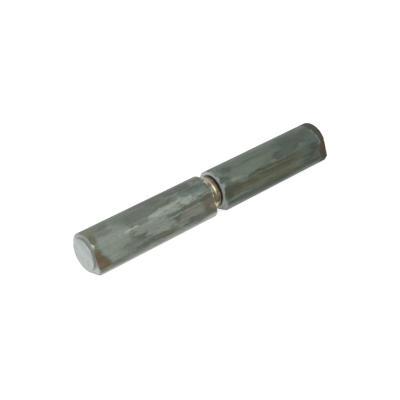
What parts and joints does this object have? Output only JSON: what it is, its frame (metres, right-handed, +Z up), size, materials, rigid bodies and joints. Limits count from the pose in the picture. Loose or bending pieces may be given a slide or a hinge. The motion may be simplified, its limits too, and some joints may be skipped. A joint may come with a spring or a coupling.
{
  "type": "weld-on barrel hinge",
  "caption": "Lift-off weld-on hinge of drop-section steel: equal halves on a pressed pin, with a brass washer between them.",
  "frame": {"origin": "under the middle of the hinge, at the centre of its bounding box's bottom, on the surface it lies on", "axes": "+X along the hinge axis from the lower half to the upper half, which lifts off along +X; +Z up from the weld flats it lies on; the nose of the drop points towards -Y and down"},
  "size_m": [0.1, 0.0138, 0.0137],
  "materials": {
    "lower_barrel_steel": "grey-green mill scale with rust at the ends and bright turned faces",
    "upper_barrel_steel": "dark grey-green mill scale with rust at the ends and bright turned faces",
    "pin_steel": "ground steel, oiled",
    "washer_brass": "turned brass, slightly tarnished"
  },
  "bodies": {
    "lower_half": {"lower_barrel": "lower_barrel_steel", "hinge_pin": "pin_steel"},
    "washer": {"brass_washer": "washer_brass"},
    "upper_half": {"upper_barrel": "upper_barrel_steel"}
  },
  "joints": [
    {"name": "swing", "type": "hinge", "parent": "lower_half", "child": "washer", "pos_m": [0, -0.00015, 0.0067], "axis": [1, 0, 0], "continuous": true},
    {"name": "lift_off", "type": "slide", "parent": "washer", "child": "upper_half", "axis": [1, 0, 0], "range_m": [0, 0.03]}
  ]
}
